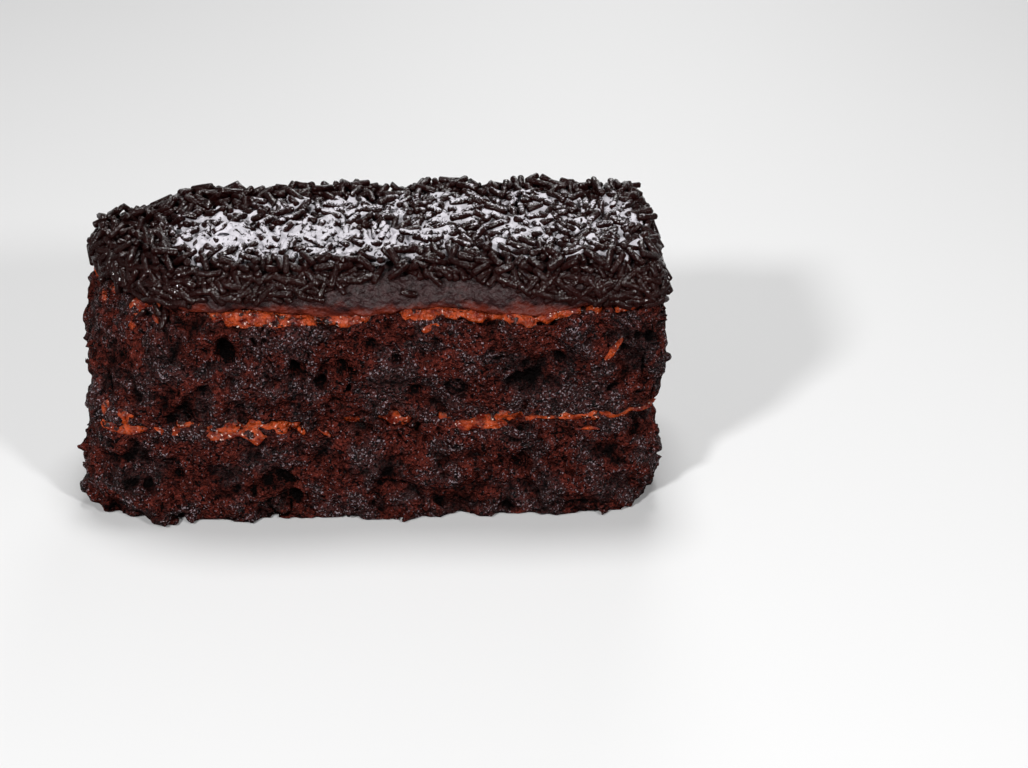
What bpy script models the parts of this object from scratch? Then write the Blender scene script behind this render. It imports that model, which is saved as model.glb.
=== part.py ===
"""Slice of a two-layer chocolate cake, in metres, +Z up, front cut face towards -Y.

From the foot up: lower sponge, lower filling, upper sponge, upper filling, and an icing layer
with chocolate strands on it. Every layer runs through the whole slice. The plan is a bar with
square right-hand corners and a broken, rounded left-hand end.
"""

import math
import random

import bmesh
import bpy
from mathutils import Matrix, Vector, noise
from mathutils.geometry import intersect_point_line

# Driving dimensions
LENGTH = 0.1325
DEPTH = 0.0540
LOWER_SPONGE_TOP = 0.0222
UPPER_SPONGE_FOOT = 0.0252
UPPER_SPONGE_TOP = 0.0482
ICING_FOOT = 0.0510
ICING_TOP = 0.0598
LAYER_GAP = 0.0003

# The corners' cuts at the foot, at the lower filling and at the top: how far each reaches along
# the slice and into its depth. The front left corner is broken back in the upper layers.
CUT_LEVELS = (0.0, 0.024, 0.050, 0.062)
FRONT_LEFT_CUT = ((0.021, 0.013), (0.017, 0.008), (0.032, 0.032), (0.038, 0.034))
BACK_LEFT_CUT = ((0.016, 0.014), (0.016, 0.014), (0.022, 0.018), (0.024, 0.019))
FRONT_RIGHT_CUT = ((0.015, 0.011), (0.006, 0.006), (0.004, 0.004), (0.006, 0.006))
BACK_RIGHT_CUT = ((0.006, 0.006), (0.005, 0.005), (0.004, 0.004), (0.006, 0.006))
CORNER_BULGE = 0.58
LEFT_LEAN = 0.0030
OUTLINE_STEPS = 24
OUTLINE_MIDDLE = 0.036

# The wall draws in round the lower filling, where the two sponges meet
WAIST = 0.0016
WAIST_REACH = 0.0065

# Relief of the torn crumb
CRUMB_LUMP = 0.0085
CRUMB_LUMP_HEIGHT = 0.0013
CRUMB_GRAIN = 0.0034
CRUMB_GRAIN_HEIGHT = 0.0022
ROW_WANDER = 0.0012

# Torn lumps and open holes in the crumb: centre, radius, and height out of the wall
CRUMB_FEATURES = (
    ((-0.049, -0.027, 0.0030), 0.0050, 0.0026),
    ((-0.067, -0.020, 0.0080), 0.0040, 0.0016),
    ((-0.067, -0.014, 0.0190), 0.0040, 0.0016),
    ((0.050, -0.027, 0.0040), 0.0060, 0.0016),
    ((0.066, -0.019, 0.0330), 0.0040, 0.0018),
    ((0.066, -0.019, 0.0130), 0.0060, 0.0016),
    ((-0.032, -0.027, 0.0400), 0.0040, -0.0030),
    ((-0.008, -0.027, 0.0390), 0.0035, -0.0026),
    ((0.042, -0.027, 0.0380), 0.0042, -0.0030),
    ((0.033, -0.027, 0.0110), 0.0045, -0.0030),
    ((0.004, -0.027, 0.0200), 0.0045, -0.0020),
    ((-0.050, -0.027, 0.0120), 0.0048, -0.0030),
    ((0.020, 0.027, 0.0360), 0.0045, -0.0028),
    ((-0.028, 0.027, 0.0130), 0.0050, -0.0030),
    ((0.066, 0.010, 0.0380), 0.0042, -0.0028),
    ((0.066, 0.004, 0.0120), 0.0045, -0.0026),
)

# Low heaps of strands along the back edge: centre and height over the icing
HEAPS = (
    ((-0.013, 0.019), 0.0016),
    ((0.014, 0.019), 0.0018),
    ((0.039, 0.020), 0.0015),
    ((0.058, 0.017), 0.0013),
    ((0.030, -0.015), 0.0007),
    ((-0.036, -0.006), 0.0008),
)
HEAP_REACH = 0.0065

# Meshes
SPONGE_SEGMENTS = 98
SPONGE_ROWS = 6
FILLING_SEGMENTS = 46
FILLING_INSET = 0.0004
FILLING_SWELL = 0.0012
ICING_SEGMENTS = 56
ICING_ROWS = 4
ICING_SHOULDER = 0.0042
KNIFE_CELL = 0.011
KNIFE_COLUMNS = 15
KNIFE_ROWS = 7
BLOCK_SPARE = 0.0035

# Chocolate strands
STRAND_RADIUS = 0.00078
STRAND_LENGTH = (0.0042, 0.0066)
STRAND_SIDES = 5
STRAND_SPACING = 0.0056
STRAND_MOST_TILT = math.radians(20)
STRAND_SINK = 0.00035
WALL_STRAND_SPACING = 0.0056
WALL_STRAND_ROWS = (0.0546, 0.0574)
WALL_STRAND_LEAN = math.radians(32)
WALL_STRAND_RISE = -0.0002
STRAND_CLEARANCE = 0.0005
SEED = 11
UP = Vector((0, 0, 1))


def clear_scene():
    for obj in list(bpy.data.objects):
        bpy.data.objects.remove(obj, do_unlink=True)


def new_collection(name):
    collection = bpy.data.collections.new(name)
    bpy.context.scene.collection.children.link(collection)
    return collection


def make_material(name, colour, roughness, coat=0.0):
    material = bpy.data.materials.new(name)
    material.use_nodes = True
    shader = material.node_tree.nodes["Principled BSDF"]
    shader.inputs["Base Color"].default_value = (*colour, 1.0)
    shader.inputs["Roughness"].default_value = roughness
    shader.inputs["Metallic"].default_value = 0.0
    shader.inputs["Coat Weight"].default_value = coat
    return material


def new_object(name, bm, collection, material=None):
    mesh = bpy.data.meshes.new(name)
    bm.to_mesh(mesh)
    bm.free()
    if material:
        mesh.materials.append(material)
    obj = bpy.data.objects.new(name, mesh)
    collection.objects.link(obj)
    return obj


def level_value(levels, height):
    """The corner cut at a height, worked out between the levels that name it."""
    for low, high, first, second in zip(CUT_LEVELS, CUT_LEVELS[1:], levels, levels[1:]):
        if height <= high:
            share = max(0.0, (height - low) / (high - low))
            share = share * share * (3 - 2 * share)
            return tuple(a + (b - a) * share for a, b in zip(first, second))
    return levels[-1]


def outline(height):
    """The plan at this height as a closed line of points, anticlockwise from the back left."""
    waist = WAIST * math.exp(-((height - LOWER_SPONGE_TOP) / WAIST_REACH) ** 2)
    left = -LENGTH / 2 + LEFT_LEAN * min(1.0, height / ICING_TOP) + waist
    right = LENGTH / 2 - waist
    front = -DEPTH / 2 + waist
    back = DEPTH / 2 - waist
    corners = (
        ((left, front), FRONT_LEFT_CUT, (0, 1), (1, 0)),
        ((right, front), FRONT_RIGHT_CUT, (-1, 0), (0, 1)),
        ((right, back), BACK_RIGHT_CUT, (0, -1), (-1, 0)),
        ((left, back), BACK_LEFT_CUT, (1, 0), (0, -1)),
    )
    points = []
    for corner, levels, towards_last, towards_next in corners:
        along, into = level_value(levels, height)
        corner = Vector(corner)
        reach = [Vector((d[0] * along, d[1] * into)) for d in (towards_last, towards_next)]
        start = corner + reach[0]
        end = corner + reach[1]
        knee = (start + end) / 2
        knee += (corner - knee) * CORNER_BULGE
        for step in range(OUTLINE_STEPS):
            t = step / (OUTLINE_STEPS - 1)
            points.append(start * (1 - t) ** 2 + knee * 2 * t * (1 - t) + end * t ** 2)
    return points


def ring(height, count):
    """Points round the plan at this height, each with its outward direction.

    They are evenly spaced half way up, and at each other height they stay over one another.
    """
    points = outline(height)
    middle = outline(OUTLINE_MIDDLE)
    spans = [(b - a).length for a, b in zip(middle, middle[1:] + middle[:1])]
    total = sum(spans)
    found = []
    index = 0
    passed = 0.0
    for step in range(count):
        wanted = total * step / count
        while passed + spans[index] < wanted:
            passed += spans[index]
            index += 1
        start = points[index]
        end = points[(index + 1) % len(points)]
        along = end - start
        place = start + along * ((wanted - passed) / spans[index])
        along.normalize()
        found.append((place, Vector((along.y, -along.x))))
    return found


def ripple(x, y, size, seed):
    """Smooth noise over the plan, from -1 to 1."""
    return noise.noise(Vector((x / size, y / size, seed)))


def lower_filling_foot(x, y):
    return LOWER_SPONGE_TOP + 0.0010 * ripple(x, y, 0.034, 3.1)


def lower_filling_top(x, y):
    thickness = UPPER_SPONGE_FOOT - LOWER_SPONGE_TOP
    swell = 1.0 + 0.75 * ripple(x, y, 0.026, 8.6)
    return lower_filling_foot(x, y) + thickness * swell


def upper_filling_foot(x, y):
    return UPPER_SPONGE_TOP + 0.0011 * ripple(x, y, 0.036, 14.2)


def upper_filling_top(x, y):
    thickness = ICING_FOOT - UPPER_SPONGE_TOP
    swell = 1.0 + 0.75 * ripple(x, y, 0.027, 21.7)
    return upper_filling_foot(x, y) + thickness * swell


def icing_surface(x, y):
    slump = 0.0022 * min(1.0, max(0.0, -x / (LENGTH / 2) - 0.55) / 0.45) ** 2
    heaps = 0.0
    for centre, rise in HEAPS:
        away = (Vector((x, y)) - Vector(centre)).length / HEAP_REACH
        heaps += rise * math.exp(-away * away)
    return ICING_TOP - slump + heaps + 0.0007 * ripple(x, y, 0.030, 30.4)


def crumb_relief(place, height):
    """How far the torn crumb stands out of the wall at this point."""
    point = Vector((place.x, place.y, height))
    relief = CRUMB_LUMP_HEIGHT * noise.noise(point / CRUMB_LUMP)
    relief += CRUMB_GRAIN_HEIGHT * noise.noise(point / CRUMB_GRAIN + Vector((7.0, 3.0, 1.0)))
    for centre, radius, rise in CRUMB_FEATURES:
        away = (point - Vector(centre)).length / radius
        relief += rise * math.exp(-away * away)
    return relief


def filling_relief(place, height):
    """The filling lies a little behind the crumb, and swells past it here and there."""
    point = Vector((place.x, place.y, height))
    return -FILLING_INSET + FILLING_SWELL * noise.noise(point / 0.012 + Vector((4.0, 9.0, 2.0)))


def icing_relief(place, height):
    """The icing's soft wall, drawn in over its rounded shoulder."""
    above = max(0.0, min(1.0, (height - ICING_TOP + ICING_SHOULDER) / ICING_SHOULDER))
    shoulder = ICING_SHOULDER * (1.0 - math.sqrt(max(0.0, 1.0 - above * above)))
    return 0.0006 * ripple(place.x, place.y, 0.011, 5.5) - shoulder


def wall_block(name, foot, top, segments, rows, relief, wander, material, collection):
    """A closed block round the plan, whose wall follows the outline and its own relief."""
    bm = bmesh.new()
    bmesh.ops.create_cone(
        bm, cap_ends=True, segments=segments, radius1=1.0, radius2=1.0, depth=1.0
    )
    upright = [e for e in bm.edges if abs(e.verts[0].co.z - e.verts[1].co.z) > 0.5]
    bmesh.ops.subdivide_edges(bm, edges=upright, cuts=rows - 1, use_grid_fill=True)
    levels = [foot + (top - foot) * row / rows for row in range(rows + 1)]
    rings = [ring(level, segments) for level in levels]
    for vert in bm.verts:
        row = round((vert.co.z + 0.5) * rows)
        turn = math.atan2(vert.co.y, vert.co.x) / (2 * math.pi)
        place, outward = rings[row][round(turn * segments) % segments]
        height = levels[row]
        if 0 < row < rows:
            height += wander * noise.noise(Vector((place.x, place.y, height)) / 0.005)
        place = place + outward * relief(place, height)
        vert.co = (place.x, place.y, height)
    bmesh.ops.recalc_face_normals(bm, faces=bm.faces[:])
    return new_object(name, bm, collection, material)


def knife_slab(name, lower, upper, collection):
    """A wavy slab between two heights over the plan, which cuts one layer out of its block."""
    bm = bmesh.new()
    bmesh.ops.create_grid(bm, x_segments=KNIFE_COLUMNS, y_segments=KNIFE_ROWS, size=1.0)
    for vert in bm.verts:
        vert.co.x *= KNIFE_COLUMNS * KNIFE_CELL / 2
        vert.co.y *= KNIFE_ROWS * KNIFE_CELL / 2
    bmesh.ops.triangulate(bm, faces=bm.faces[:], quad_method="FIXED")
    lower_verts = bm.verts[:]
    raised = bmesh.ops.extrude_face_region(bm, geom=bm.faces[:], use_keep_orig=True)
    raised = [item for item in raised["geom"] if isinstance(item, bmesh.types.BMVert)]
    for vert in lower_verts:
        vert.co.z = lower(vert.co.x, vert.co.y)
    for vert in raised:
        vert.co.z = upper(vert.co.x, vert.co.y)
    bmesh.ops.recalc_face_normals(bm, faces=bm.faces[:])
    slab = new_object(name, bm, collection)
    slab.hide_render = True
    slab.display_type = "WIRE"
    return slab


def keep_inside(obj, slab):
    cut = obj.modifiers.new("layer", "BOOLEAN")
    cut.operation = "INTERSECT"
    cut.solver = "EXACT"
    cut.object = slab


def apply_modifiers(obj):
    """Gives the object the mesh that its modifiers make, so that they can be dropped."""
    graph = bpy.context.evaluated_depsgraph_get()
    made = bpy.data.meshes.new_from_object(obj.evaluated_get(graph))
    obj.modifiers.clear()
    obj.data = made


def make_sponges(parts, knives, material):
    def foot(x, y):
        return -BLOCK_SPARE

    def lower_top(x, y):
        return lower_filling_foot(x, y) - LAYER_GAP

    def upper_foot(x, y):
        return lower_filling_top(x, y) + LAYER_GAP

    def upper_top(x, y):
        return upper_filling_foot(x, y) - LAYER_GAP

    layers = (
        ("sponge_lower", 0.0, LOWER_SPONGE_TOP + BLOCK_SPARE, foot, lower_top),
        (
            "sponge_upper",
            UPPER_SPONGE_FOOT - BLOCK_SPARE,
            UPPER_SPONGE_TOP + BLOCK_SPARE,
            upper_foot,
            upper_top,
        ),
    )
    for name, low, high, lower, upper in layers:
        block = wall_block(
            name, low, high, SPONGE_SEGMENTS, SPONGE_ROWS, crumb_relief, ROW_WANDER, material, parts
        )
        keep_inside(block, knife_slab(f"knife_{name}", lower, upper, knives))


def make_fillings(parts, knives, material):
    layers = (
        ("filling_lower", LOWER_SPONGE_TOP, UPPER_SPONGE_FOOT, lower_filling_foot, lower_filling_top),
        ("filling_upper", UPPER_SPONGE_TOP, ICING_FOOT, upper_filling_foot, upper_filling_top),
    )
    for name, low, high, lower, upper in layers:
        block = wall_block(
            name,
            low - BLOCK_SPARE,
            high + BLOCK_SPARE,
            FILLING_SEGMENTS,
            2,
            filling_relief,
            0.0,
            material,
            parts,
        )
        keep_inside(block, knife_slab(f"knife_{name}", lower, upper, knives))


def make_icing(parts, knives, material):
    def foot(x, y):
        return upper_filling_top(x, y) + LAYER_GAP

    icing = wall_block(
        "icing_with_strands",
        ICING_FOOT - BLOCK_SPARE,
        ICING_TOP + BLOCK_SPARE,
        ICING_SEGMENTS,
        ICING_ROWS,
        icing_relief,
        0.0,
        material,
        parts,
    )
    keep_inside(icing, knife_slab("knife_icing", foot, icing_surface, knives))
    bpy.context.view_layer.update()
    apply_modifiers(icing)
    return icing


def frame_from(up, along):
    """A rotation whose Z runs along the strand and whose Y faces out of the icing."""
    along = along.normalized()
    side = up.cross(along).normalized()
    return Matrix((side, along.cross(side), along)).transposed()


def inside_plan(x, y, margin):
    """Whether a point of the top lies inside the icing's flat part."""
    points = outline(ICING_TOP)
    crossings = 0
    for a, b in zip(points, points[1:] + points[:1]):
        nearest, _ = intersect_point_line(Vector((x, y)), a, b)
        share = (nearest.to_2d() - a).dot(b - a) / (b - a).length_squared
        closest = a + (b - a) * min(1.0, max(0.0, share))
        if (closest - Vector((x, y))).length < margin:
            return False
        if (a.y > y) != (b.y > y) and x < a.x + (y - a.y) * (b.x - a.x) / (b.y - a.y):
            crossings += 1
    return crossings % 2 == 1


def top_strands(draw):
    """Centre, outward direction, run and length of each strand that lies on top."""
    columns = int(LENGTH / STRAND_SPACING)
    rows = int(DEPTH / STRAND_SPACING)
    for column in range(columns + 1):
        for row in range(rows + 1):
            shift = 0.5 * (row % 2)
            x = (column + shift - columns / 2) * STRAND_SPACING + draw.uniform(-1, 1) * 0.0012
            y = (row - rows / 2) * STRAND_SPACING + draw.uniform(-1, 1) * 0.0012
            turn = draw.uniform(0, math.pi)
            tilt = draw.uniform(-1, 1) * STRAND_MOST_TILT
            length = draw.uniform(*STRAND_LENGTH)
            if not inside_plan(x, y, ICING_SHOULDER * 0.9):
                continue
            rise = abs(math.sin(tilt)) * length / 2
            height = icing_surface(x, y) + max(STRAND_SINK, rise - STRAND_SINK)
            level = Vector((math.cos(turn), math.sin(turn), 0))
            run = level * math.cos(tilt) + UP * math.sin(tilt)
            yield Vector((x, y, height)), UP, run, length


def wall_strands(draw):
    """The strands pressed into the icing's wall, clear of the filling below."""
    for number, height in enumerate(WALL_STRAND_ROWS):
        span = sum((b - a).length for a, b in zip(outline(height), outline(height)[1:]))
        count = int(span / WALL_STRAND_SPACING)
        for place, outward in ring(height, count):
            lean = draw.uniform(-1, 1) * WALL_STRAND_LEAN
            length = draw.uniform(*STRAND_LENGTH)
            level = height + draw.uniform(-1, 1) * 0.0008
            outward = Vector((outward.x, outward.y, 0.35 * number)).normalized()
            flat = Vector((-outward.y, outward.x, 0)).normalized()
            run = flat * math.cos(lean) + outward.cross(flat) * math.sin(lean)
            lowest = level - abs(run.z) * length / 2 - STRAND_RADIUS
            floor = upper_filling_top(place.x, place.y) + LAYER_GAP + STRAND_CLEARANCE
            level += max(0.0, floor - lowest)
            wall = place + Vector((outward.x, outward.y)) * icing_relief(place, level)
            centre = Vector((wall.x, wall.y, level)) + outward * WALL_STRAND_RISE
            yield centre, outward, run, length


def make_strands(collection, draw):
    for number, (centre, outward, run, length) in enumerate(
        [*top_strands(draw), *wall_strands(draw)]
    ):
        bm = bmesh.new()
        bmesh.ops.create_cone(
            bm,
            cap_ends=True,
            segments=STRAND_SIDES,
            radius1=STRAND_RADIUS,
            radius2=STRAND_RADIUS,
            depth=length,
        )
        strand = new_object(f"strand_{number:03d}", bm, collection)
        strand.matrix_world = Matrix.Translation(centre) @ frame_from(outward, run).to_4x4()


def keep_largest_island(mesh):
    """Drops loose scraps, and fills hollows that the strands have sealed."""
    bm = bmesh.new()
    bm.from_mesh(mesh)
    islands = []
    seen = set()
    for first in bm.verts:
        if first in seen:
            continue
        seen.add(first)
        island = [first]
        for vert in island:
            for edge in vert.link_edges:
                other = edge.other_vert(vert)
                if other not in seen:
                    seen.add(other)
                    island.append(other)
        islands.append(island)
    islands.sort(key=len)
    for island in islands[:-1]:
        bmesh.ops.delete(bm, geom=island, context="VERTS")
    bm.to_mesh(mesh)
    bm.free()


def fuse(obj, collection):
    """Joins every object of the collection to obj, and removes them."""
    union = obj.modifiers.new("strands", "BOOLEAN")
    union.operation = "UNION"
    union.solver = "MANIFOLD"
    union.operand_type = "COLLECTION"
    union.collection = collection
    bpy.context.view_layer.update()
    apply_modifiers(obj)
    keep_largest_island(obj.data)
    for strand in list(collection.objects):
        bpy.data.objects.remove(strand, do_unlink=True)
    bpy.data.collections.remove(collection)


def stand_on_origin(parts, knives):
    """Moves the slice so that the origin is the bottom centre of its bounding box."""
    bpy.context.view_layer.update()
    graph = bpy.context.evaluated_depsgraph_get()
    corners = [
        obj.matrix_world @ Vector(corner)
        for obj in parts.objects
        for corner in obj.evaluated_get(graph).bound_box
    ]
    low = Vector([min(corner[axis] for corner in corners) for axis in range(3)])
    high = Vector([max(corner[axis] for corner in corners) for axis in range(3)])
    centre = (low + high) / 2
    for obj in [*parts.objects, *knives.objects]:
        obj.location -= Vector((centre.x, centre.y, low.z))


def main():
    clear_scene()
    parts = new_collection("chocolate_cake_slice")
    knives = new_collection("knives")
    strands = new_collection("strands")
    sponge = make_material("sponge", (0.032, 0.009, 0.008), 0.7)
    filling = make_material("filling", (0.16, 0.028, 0.014), 0.35, 0.3)
    icing = make_material("icing", (0.016, 0.010, 0.011), 0.5)
    make_sponges(parts, knives, sponge)
    make_fillings(parts, knives, filling)
    iced = make_icing(parts, knives, icing)
    make_strands(strands, random.Random(SEED))
    fuse(iced, strands)
    stand_on_origin(parts, knives)


main()
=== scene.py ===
"""The looks of the chocolate cake slice: crumb, filling, icing, chocolate strands and icing sugar.

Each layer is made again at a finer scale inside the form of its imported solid. The layer is a
field of heights over its surface, sampled on a grid in millimetres and positive inside, with
noise that stands for the crumb. A surface is then drawn where the field is zero.
"""

import math

import bpy
import numpy as np
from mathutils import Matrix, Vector
from mathutils.bvhtree import BVHTree


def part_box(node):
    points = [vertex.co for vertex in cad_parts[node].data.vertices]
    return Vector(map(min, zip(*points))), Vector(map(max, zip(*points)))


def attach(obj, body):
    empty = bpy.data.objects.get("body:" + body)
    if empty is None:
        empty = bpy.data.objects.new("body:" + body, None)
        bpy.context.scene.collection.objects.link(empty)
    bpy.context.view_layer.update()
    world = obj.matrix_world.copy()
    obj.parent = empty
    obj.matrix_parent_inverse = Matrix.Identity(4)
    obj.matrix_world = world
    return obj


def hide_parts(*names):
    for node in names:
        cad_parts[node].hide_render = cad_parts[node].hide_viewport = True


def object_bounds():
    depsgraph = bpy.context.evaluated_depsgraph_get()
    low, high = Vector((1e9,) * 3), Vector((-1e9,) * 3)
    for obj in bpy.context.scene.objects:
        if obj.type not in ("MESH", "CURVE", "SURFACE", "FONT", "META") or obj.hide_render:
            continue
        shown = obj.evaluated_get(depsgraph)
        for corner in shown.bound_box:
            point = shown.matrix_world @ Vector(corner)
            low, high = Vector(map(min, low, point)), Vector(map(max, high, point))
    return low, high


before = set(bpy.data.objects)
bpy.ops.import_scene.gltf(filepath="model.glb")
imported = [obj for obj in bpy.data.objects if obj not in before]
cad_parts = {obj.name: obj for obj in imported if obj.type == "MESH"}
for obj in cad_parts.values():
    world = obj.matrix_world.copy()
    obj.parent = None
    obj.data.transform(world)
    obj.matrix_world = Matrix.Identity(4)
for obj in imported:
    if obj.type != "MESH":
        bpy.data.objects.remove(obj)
cad_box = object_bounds()

MM = 0.001
UP = Vector((0, 0, 1))
SEED = 7

# Grids, in millimetres
COARSE_STEP = 1.5
CRUMB_STEP = 0.49
FILLING_STEP = 0.5
ICING_STEP = 0.8
SUGAR_STEP = 0.42
BELOW_FLOOR = 4.5
FIELD_MARGIN = 3.0
NODE_REACH = 6.0
FAR_OUTSIDE = -9.0
LAYER_MARGIN = 2.8
CLOSED_GAP = 0.3
BARE_DEPTH = 1.0
FOOT_LEVEL = 1.0

# What lies deeper than this under the wall is out of sight, and is drawn with large faces
HIDDEN_DEPTH = 3.6
HIDDEN_CELL = np.array([3.5, 3.5, 1.2])
NEAR_WALL = (1.2, 3.8)

# Crumb relief: size of the lumps and how far they stand out, in millimetres
CRUMB_SCALES = ((5.0, 0.30), (2.4, 0.33), (1.25, 0.32), (0.85, 0.24))
CRUMB_GROWTH = 0.2
TEAR_SIZE = 3.4
TEAR_WIDTH = 0.22
TEAR_DEPTH = 1.3
TEAR_SPREAD = 9.0
TEAR_EDGE = (0.1, 0.7)
RAGGED = 0.55
RAGGED_SIZE = 1.6
FILLING_SCALES = ((4.0, 0.25), (1.5, 0.14))
FILLING_GROWTH = 0.35
ICING_SCALES = ((7.0, 0.25), (2.2, 0.10))
ICING_GROWTH = 0.1
ICING_DROOP = 0.9
ICING_FOOT_REACH = 5.0

# Rise and fall of each filling along the slice: its middle height, and pairs of x and rise
WAVES = (
    (23.7, ((-64, 0.3), (-44, 0.2), (-20, -0.6), (5, 0.8), (16, 1), (40, 1.2), (64, 1.3))),
    (49.6, ((-64, 0.5), (-30, 0.8), (-4, -0.3), (16, 1.8), (29, -0.4), (38, -1.5), (49, 1.2), (63, 2.8))),
)
WAVE_REACH = 5.5
MOST_PAST_WALL = 1.5

# Crumb over the filling: stretches of the front, from x to x, where the filling shows
COVER_REACH = 2.3
COVER_INSET = 2.4
COVER_MARGIN = 2
EDGE_CREEP = 0.45
FRONT_HALF = -12.0
FRONT_BLEND = 3
TORN_SCALES = ((8, 1), (2.4, 0.45))
TORN_EDGE = (-0.8, 0.2)
SHOWN_EDGE = 1.6
SHOWN_LEVEL = 1.08
SHOWN_SCALES = ((2.4, 0.34), (1.2, 0.22))
SHOWN_LOWER = ((-65, -50), (-44, -29), (-28, -16), (3, 9), (15, 65))
SHOWN_UPPER = ((-64, -58), (-53, -46), (-35, 1), (7, 26), (30, 52), (54, 66))

# The front wall's place along y
FRONT_WALL = -26.5

# Holes in the crumb of the front wall: x, z, radii along and up, depth, and slant in degrees
HOLES = (
    (-31.4, 42.4, 1.8, 2.6, 3.6, 0), (-16.6, 38.9, 1.1, 1.9, 3, 10), (-6, 38.8, 1, 1.2, 2.6, 0),
    (-3.4, 37.6, 1.2, 0.8, 2.4, 0), (-10.8, 34.9, 1.1, 1.3, 2.4, 0),
    (-4.6, 33.8, 0.5, 1.4, 1.8, -20), (6, 40.3, 0.9, 0.9, 1.8, 0), (19.3, 33.5, 3, 2, 0.9, -25),
    (42.7, 38.6, 1.3, 1.9, 2, 0), (54.5, 32.6, 2.2, 0.8, 2.6, 38),
    (-56.7, 15.6, 2.6, 0.8, 3, -22), (-51, 14, 1.4, 1.2, 3, 0), (-45.5, 15.2, 2, 0.8, 2.8, 8),
    (-44.2, 12.2, 0.8, 1.6, 2.6, 0), (-57.5, 20.6, 1, 0.8, 2.2, 0), (-52, 20.8, 1.3, 0.7, 2.2, 0),
    (33.8, 12.2, 1.7, 2.2, 3.4, -20), (7.2, 22.6, 4.8, 1.2, 3.2, -32),
    (-19.8, 10.9, 2, 1.2, 2.4, -35), (-17.5, 6, 1.4, 1.6, 2, 0), (36, 35, 0.8, 1.1, 1.6, 0),
    (-38, 33.5, 1.2, 0.9, 1.8, 30), (24, 42.5, 0.8, 0.8, 1.4, 0), (52, 16, 0.8, 0.7, 1.4, 0),
)
RANDOM_HOLES = 240
RANDOM_HOLE_RADIUS = (0.45, 1.5)
MOST_HOLE_SLANT = 40

# Flakes and lumps that stand out of the crumb: centre and radius
FLAKES = (
    ((-49.5, -27.4, 2.4), 2.6), ((-61, -21.5, 1.8), 2.2), ((-64, -17.5, 2.4), 1.9),
    ((-66.6, -9, 23), 1.5), ((-66.8, -13.5, 13), 1.7), ((-65.8, -16, 4.6), 2),
    ((67, -20.5, 36.5), 1.3), ((65.8, -20, 13.5), 1.9), ((64.4, -18.5, 3.4), 2),
    ((54.5, -26, 3.2), 2.4), ((-65, -13, 29.5), 1.3), ((8, -28, 0.9), 1.1), ((-36, 27, 8), 1.8),
    ((22, 26.8, 33), 1.7), ((66.6, 10, 18), 1.7),
)
FLAKE_CRUMB = 0.9

# Smears of filling on the front wall: x, z, radii along and up, and slant in degrees
SMEARS = (
    (49.7, 21.4, 3.2, 0.5, 0), (54.5, 41.7, 0.8, 3.6, -35), (-49, 53, 1.6, 1, 30),
    (-10.4, 21.6, 2.2, 0.6, -40), (-15.8, 22.6, 1.3, 0.9, -30), (13.5, 48, 2, 0.9, 20),
    (-47, 48, 1.2, 0.6, -20), (-51.4, 49.4, 2, 1.9, 0), (-48.4, 52, 0.8, 2.2, -30),
    (-57.6, 50.6, 1.3, 0.8, 0), (-53, 45.6, 1.4, 0.9, 30), (-63.4, 53, 1.6, 1.8, 0),
    (-60, 48.5, 0.9, 0.9, 0), (-59.6, 25.6, 2.4, 3.4, -20), (-55, 25.6, 2.4, 2.4, 10),
    (-57, 22.9, 5, 1.5, -4), (-46, 22.8, 6, 1.3, -6), (-34, 21.6, 6, 0.9, 4),
    (-26.5, 21.8, 3.4, 1.9, -20), (24, 23, 8, 1.2, 0), (46, 25, 6, 1, 4), (57.5, 24.8, 7, 1.6, 2),
)
SMEAR_BOX = ((-68, -32, 8), (68, 2, 58))
SMEAR_DEPTH = 6.0
SMEAR_FILM = 0.9
SMEAR_SINK = 0.15
SMEAR_RISE = 0.8
SMEAR_LIMIT = 0.42
SMEAR_RAGGED = ((1.4, 0.16),)
SMEAR_UNEVEN = ((1.6, 0.25),)

# Dark wet patches of crumb on the front wall, where icing was dragged over it
DARK_PATCHES = (
    (-60, 49, 6, 3.4, -20), (-50, 45, 4, 2.6, -60), (-47, 39.5, 6, 2.2, 0),
    (-36, 38.5, 3.4, 1.8, 20), (-59.5, 33, 4.6, 2.6, -70), (-50.5, 31, 3, 1.8, 0),
    (-58, 9, 5, 3, 0), (57, 49, 4, 2.4, 0), (62, 42, 3, 4, 0), (46, 46.5, 5, 1.6, 10),
    (52, 37, 3.4, 2, 0), (27, 41, 4, 1.8, 0), (12, 43.5, 6, 1.6, 0),
)
DARK_DEPTH = 8.0

# Chocolate strands, in millimetres
STRAND_RADIUS = (0.70, 0.90)
STRAND_LENGTH = (3.6, 6.4)
STRAND_SIDES = 8
STRAND_RINGS = ((-0.97, 0.78), (-0.86, 1.0), (0.0, 1.0), (0.86, 1.0), (0.97, 0.78))
STRAND_BEND = 0.45
STRAND_TAPER = 0.06
TOP_STRAND_DROPS = 3600
WALL_STRANDS = 720
HEIGHT_STEP = 0.4
MOST_SLOPE = 0.85
STRAND_SETTLE = 0.82
POKING_SHARE = 0.09
POKING_SLOPE = (0.35, 0.95)
MOST_PILE = 2.4
MOST_OVER_TOP = 0.6

# Heaps and dips of the strands: x, y, reach and how much higher or lower they pile up
HEAPS = (
    (-63, 6, 7, 1.6), (-51, 20, 10, -1.6), (-44, 27, 4, 1.6), (-27, 26, 8, -0.9),
    (-10, 26, 8, 1.2), (7, 26, 7, -1.8), (17, 27, 6, 1.3), (30, 27, 6, -1.2), (40, 26, 5, 1.2),
    (52, 25, 6, -0.8), (60, 22, 5, 0.9), (20, 0, 9, -0.4), (-20, 6, 8, -0.5),
)

# Layers of strands on the wall: share of them laid by then, spacing, and distance from the wall
# in strand radii
WALL_LAYERS = ((0.6, 1.75, 0.35), (1.0, 2.1, 1.25))
WALL_TRIES = 6000
WALL_FACING = (-0.4, 0.85)
WALL_TILT = 0.12
MOST_LEAN = 1.3

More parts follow.
